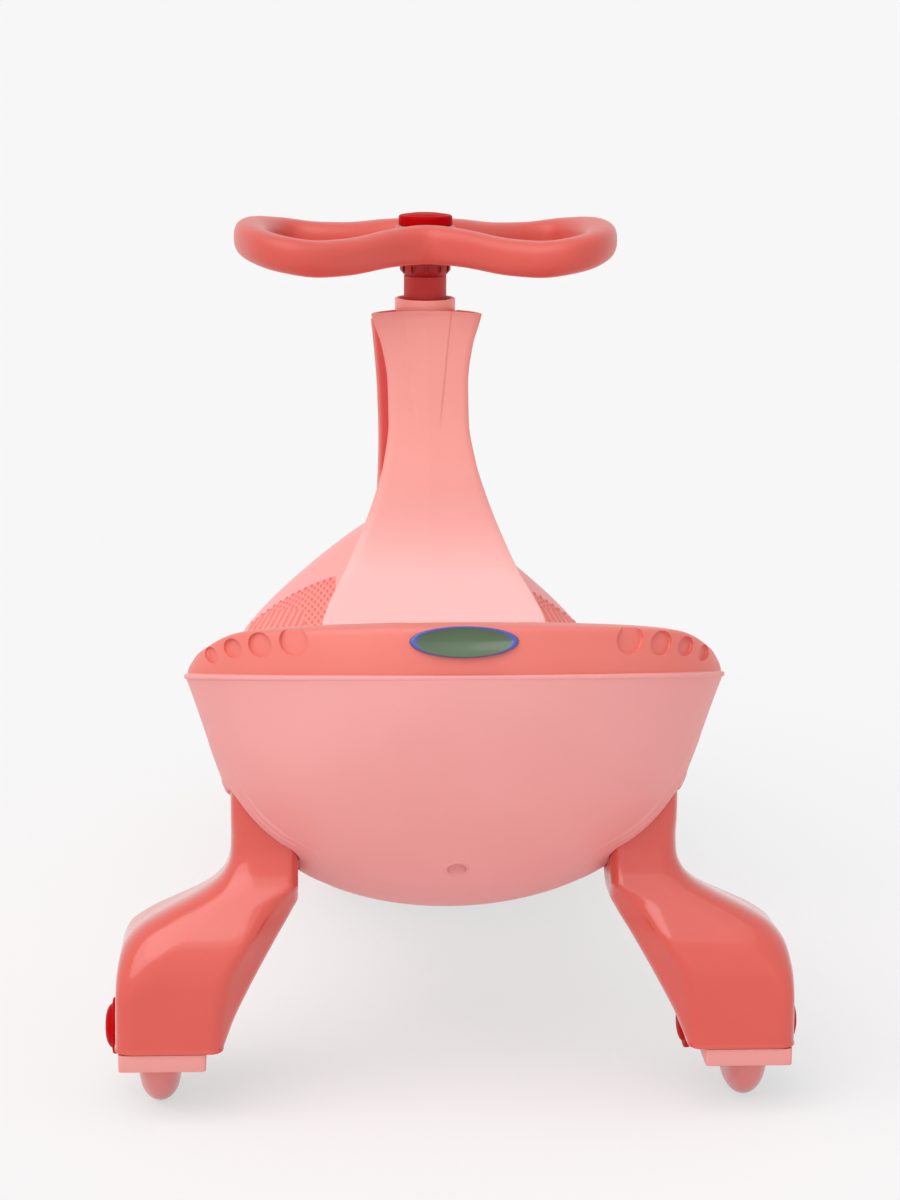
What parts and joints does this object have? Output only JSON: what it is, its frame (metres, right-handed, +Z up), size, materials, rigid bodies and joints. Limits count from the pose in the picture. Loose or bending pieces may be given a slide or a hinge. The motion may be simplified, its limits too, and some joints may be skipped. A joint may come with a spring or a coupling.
{
  "type": "wiggle car",
  "caption": "Ride-on wiggle car with a boat-shaped hull, bucket seat, spread rear legs with wheels, and a butterfly steering wheel that turns a front wheel fork.",
  "frame": {"origin": "On the ground under the middle of the car's length and width", "axes": "+Y forwards along the car, +X to the rider's right, +Z up"},
  "size_m": [0.3456, 0.7007, 0.4101],
  "materials": {
    "body_pink": "fine satin moulded plastic",
    "seat_coral": "satin moulded plastic",
    "leg_coral": "glossy moulded plastic",
    "grip_coral": "satin moulded plastic",
    "bracket_pink": "semi-gloss moulded plastic",
    "cap_red": "glossy red plastic",
    "wheel_clear_pink": "clear tinted polyurethane",
    "hub_red": "tinted plastic core",
    "steel": "zinc plated",
    "black_nylon": "black nylon",
    "badge_enamel": "plain oval plate with a coloured rim"
  },
  "bodies": {
    "chassis": {"lower_hull": "body_pink", "seat_deck": "seat_coral", "front_deck": "body_pink", "neck": "body_pink", "left_foot_pad": "seat_coral", "right_foot_pad": "seat_coral", "left_leg": "leg_coral", "right_leg": "leg_coral", "leg_tie_bar": "steel", "leg_screws": "steel", "body_screws": "steel", "badge_plate": "badge_enamel", "left_wheel_bracket": "bracket_pink", "right_wheel_bracket": "bracket_pink", "left_axle_bolt": "steel", "right_axle_bolt": "steel", "left_axle_nut": "steel", "right_axle_nut": "steel", "left_outer_cap": "cap_red", "right_outer_cap": "cap_red", "left_inner_cap": "cap_red", "right_inner_cap": "cap_red", "left_spacers": "black_nylon", "right_spacers": "black_nylon", "upper_bush": "seat_coral", "lower_bush": "black_nylon"},
    "steering": {"steering_wheel": "grip_coral", "steering_cap": "cap_red", "wheel_bolt": "steel", "hub_nut": "grip_coral", "column_sleeve": "grip_coral", "steering_shaft": "steel", "thrust_washer": "steel", "front_fork": "black_nylon", "fork_pin": "steel", "front_axle": "steel", "front_nuts": "steel", "front_left_cap": "cap_red", "front_right_cap": "cap_red"},
    "rear_left_wheel": {"rear_left_tyre": "wheel_clear_pink", "rear_left_hub": "hub_red", "rear_left_bearings": "steel"},
    "rear_right_wheel": {"rear_right_tyre": "wheel_clear_pink", "rear_right_hub": "hub_red", "rear_right_bearings": "steel"},
    "front_left_wheel": {"front_left_tyre": "wheel_clear_pink", "front_left_hub": "hub_red", "front_left_bearings": "steel"},
    "front_right_wheel": {"front_right_tyre": "wheel_clear_pink", "front_right_hub": "hub_red", "front_right_bearings": "steel"}
  },
  "joints": [
    {"name": "steering_turn", "type": "hinge", "parent": "chassis", "child": "steering", "pos_m": [0, 0.067, 0.2], "axis": [0, 0, 1], "continuous": true},
    {"name": "rear_left_wheel_spin", "type": "hinge", "parent": "chassis", "child": "rear_left_wheel", "pos_m": [-0.1455, -0.27, 0.037], "axis": [1, 0, 0], "continuous": true},
    {"name": "rear_right_wheel_spin", "type": "hinge", "parent": "chassis", "child": "rear_right_wheel", "pos_m": [0.1455, -0.27, 0.037], "axis": [1, 0, 0], "continuous": true},
    {"name": "front_left_wheel_spin", "type": "hinge", "parent": "steering", "child": "front_left_wheel", "pos_m": [-0.05, 0.102, 0.037], "axis": [1, 0, 0], "continuous": true},
    {"name": "front_right_wheel_spin", "type": "hinge", "parent": "steering", "child": "front_right_wheel", "pos_m": [0.05, 0.102, 0.037], "axis": [1, 0, 0], "continuous": true}
  ]
}
